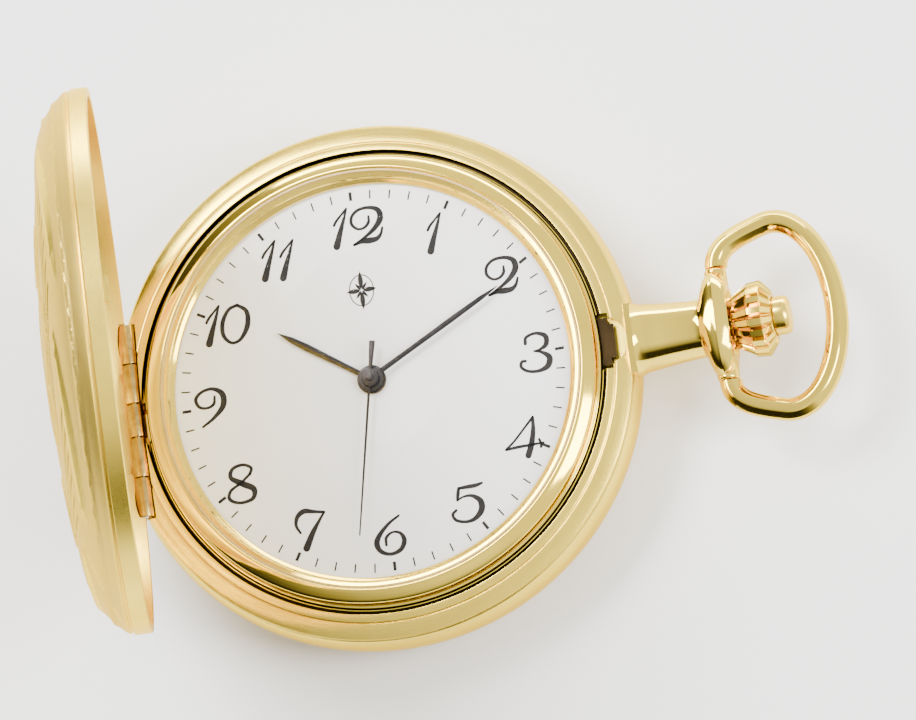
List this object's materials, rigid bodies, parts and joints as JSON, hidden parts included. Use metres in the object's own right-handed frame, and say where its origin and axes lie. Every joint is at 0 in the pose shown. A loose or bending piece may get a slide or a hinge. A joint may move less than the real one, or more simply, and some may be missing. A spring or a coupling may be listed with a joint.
{
  "type": "pocket watch",
  "caption": "Hunter pocket watch with a hinged engraved cover, pendant, bow and fluted crown, and a hand-wound movement that drives centre seconds.",
  "frame": {"origin": "centre of the flat foot of the case back, on which the watch lies", "axes": "+X to the crown at three o'clock, +Y to twelve, +Z out of the dial"},
  "size_m": [0.0681, 0.047, 0.0522],
  "materials": {
    "gold_plate": "gold plate, satin and polished",
    "brass": "gilt",
    "steel": "polished steel",
    "nickel": "nickel plated, striped",
    "dial": "silvered white",
    "hand_grey": "dark oxide",
    "crystal": "clear, domed",
    "gasket": "matte",
    "ruby": "polished"
  },
  "bodies": {
    "case": {"case_middle": "gold_plate", "back_cover": "gold_plate", "crystal_bezel": "gold_plate", "crystal": "crystal", "crystal_gasket": "gasket", "pendant": "gold_plate", "hinge_pin": "steel", "lift_spring": "brass", "spring_screws": "steel", "movement_ring": "brass", "case_screws": "steel", "dial": "dial", "dial_screws": "steel", "mainplate": "brass", "barrel_bridge": "nickel", "train_bridge": "nickel", "balance_cock": "nickel", "pallet_bridge": "nickel", "jewels": "ruby", "bridge_screws": "steel", "hairspring": "steel"},
    "cover": {"front_cover": "gold_plate"},
    "bow_ring": {"bow": "gold_plate"},
    "winding": {"winding_pinion": "steel"},
    "clutch": {"sliding_pinion": "steel"},
    "crown_stem": {"crown": "gold_plate", "winding_stem": "steel", "button_spring": "steel"},
    "button": {"release_button": "gold_plate"},
    "catch": {"lock_catch": "steel"},
    "seconds": {"fourth_wheel": "brass", "second_hand": "hand_grey"},
    "minutes": {"centre_wheel": "brass", "cannon_pinion": "steel", "minute_hand": "hand_grey"},
    "hours": {"hour_wheel": "brass", "hour_hand": "hand_grey"},
    "third": {"third_wheel": "brass"},
    "escape": {"escape_wheel": "steel"},
    "motion": {"minute_wheel": "brass"},
    "setting": {"setting_wheel": "steel"},
    "barrel_drum": {"barrel": "brass", "mainspring": "steel"},
    "ratchet": {"ratchet_wheel": "steel", "barrel_arbor": "steel"},
    "crown_gear": {"crown_wheel": "steel"},
    "click_arm": {"click": "steel"},
    "pallets": {"pallet_fork": "steel"},
    "balance": {"balance_wheel": "brass"},
    "lever": {"setting_lever": "steel"},
    "yoke_arm": {"yoke": "steel"}
  },
  "joints": [
    {"name": "cover_hinge", "type": "hinge", "parent": "case", "child": "cover", "pos_m": [-0.02155, 0, 0.0077], "axis": [0, -1, 0], "range_deg": [-79, 0], "stiffness_Nm_per_rad": 0.0015, "springref_deg": 57.3},
    {"name": "bow_pivot", "type": "hinge", "parent": "case", "child": "bow_ring", "pos_m": [0.031, 0, 0.0066], "axis": [0, -1, 0], "range_deg": [-99, 100]},
    {"name": "crown_turn", "type": "hinge", "parent": "case", "child": "winding", "pos_m": [0.0133, 0, 0.0066], "axis": [1, 0, 0], "continuous": true},
    {"name": "crown_pull", "type": "slide", "parent": "winding", "child": "crown_stem", "axis": [1, 0, 0], "range_m": [0, 0.001]},
    {"name": "clutch_slide", "type": "slide", "parent": "winding", "child": "clutch", "axis": [-1, 0, 0], "range_m": [0, 0.0008]},
    {"name": "button_push", "type": "slide", "parent": "crown_stem", "child": "button", "axis": [-1, 0, 0], "range_m": [0, 0.0008], "stiffness_N_per_m": 300, "springref_m": -0.001},
    {"name": "catch_draw", "type": "slide", "parent": "case", "child": "catch", "axis": [-1, 0, 0], "range_m": [0, 0.0004]},
    {"name": "lever_swing", "type": "hinge", "parent": "case", "child": "lever", "pos_m": [0.0153, -0.0026, 0.0072], "axis": [0, 0, 1], "range_deg": [-23, 0]},
    {"name": "yoke_swing", "type": "hinge", "parent": "case", "child": "yoke_arm", "pos_m": [0.0094, -0.0036, 0.0075], "axis": [0, 0, 1], "range_deg": [0, 12]},
    {"name": "crown_wheel_turn", "type": "hinge", "parent": "case", "child": "crown_gear", "pos_m": [0.0132, 0.0021, 0.003], "axis": [0, 0, 1], "continuous": true},
    {"name": "ratchet_turn", "type": "hinge", "parent": "case", "child": "ratchet", "pos_m": [0.0042, 0.00727, 0.003], "axis": [0, 0, 1], "continuous": true},
    {"name": "click_rock", "type": "hinge", "parent": "case", "child": "click_arm", "pos_m": [0.00016, 0.01487, 0.0022], "axis": [0, 0, 1], "range_deg": [0, 8], "stiffness_Nm_per_rad": 0.0001, "springref_deg": -2.86},
    {"name": "seconds_turn", "type": "hinge", "parent": "case", "child": "seconds", "pos_m": [0, 0, 0.006], "axis": [0, 0, 1], "continuous": true},
    {"name": "minutes_turn", "type": "hinge", "parent": "case", "child": "minutes", "pos_m": [0, 0, 0.006], "axis": [0, 0, 1], "continuous": true},
    {"name": "hours_turn", "type": "hinge", "parent": "case", "child": "hours", "pos_m": [0, 0, 0.008], "axis": [0, 0, 1], "continuous": true},
    {"name": "third_turn", "type": "hinge", "parent": "case", "child": "third", "pos_m": [-0.00677, -0.00246, 0.005], "axis": [0, 0, 1], "continuous": true},
    {"name": "escape_turn", "type": "hinge", "parent": "case", "child": "escape", "pos_m": [0.00179, -0.00669, 0.005], "axis": [0, 0, 1], "continuous": true},
    {"name": "motion_turn", "type": "hinge", "parent": "case", "child": "motion", "pos_m": [0.00338, -0.00123, 0.0074], "axis": [0, 0, 1], "continuous": true},
    {"name": "setting_turn", "type": "hinge", "parent": "case", "child": "setting", "pos_m": [0.00733, -0.00158, 0.0073], "axis": [0, 0, 1], "continuous": true},
    {"name": "barrel_turn", "type": "hinge", "parent": "case", "child": "barrel_drum", "pos_m": [0.0042, 0.00727, 0.0045], "axis": [0, 0, 1], "continuous": true},
    {"name": "pallet_rock", "type": "hinge", "parent": "case", "child": "pallets", "pos_m": [0.005, -0.0078, 0.005], "axis": [0, 0, 1], "range_deg": [-5, 5]},
    {"name": "balance_swing", "type": "hinge", "parent": "case", "child": "balance", "pos_m": [0.0086, -0.0082, 0.004], "axis": [0, 0, 1], "range_deg": [-220, 220], "stiffness_Nm_per_rad": 0.00000037}
  ],
  "couplings": [
    {"joint": "minutes_turn", "follows": "seconds_turn", "ratio": 0.016667},
    {"joint": "hours_turn", "follows": "seconds_turn", "ratio": 0.0013889},
    {"joint": "third_turn", "follows": "seconds_turn", "ratio": -0.13333},
    {"joint": "escape_turn", "follows": "seconds_turn", "ratio": -10},
    {"joint": "motion_turn", "follows": "seconds_turn", "ratio": -0.0055556},
    {"joint": "setting_turn", "follows": "seconds_turn", "ratio": 0.011905},
    {"joint": "barrel_turn", "follows": "seconds_turn", "ratio": -0.0027778},
    {"joint": "crown_wheel_turn", "follows": "crown_turn", "ratio": 0.5},
    {"joint": "ratchet_turn", "follows": "crown_turn", "ratio": -0.24138},
    {"joint": "clutch_slide", "follows": "crown_pull", "ratio": 0.7},
    {"joint": "lever_swing", "follows": "crown_pull", "rad_per_m": -384},
    {"joint": "yoke_swing", "follows": "crown_pull", "rad_per_m": 194.4},
    {"joint": "catch_draw", "follows": "button_push", "ratio": 0.4}
  ]
}
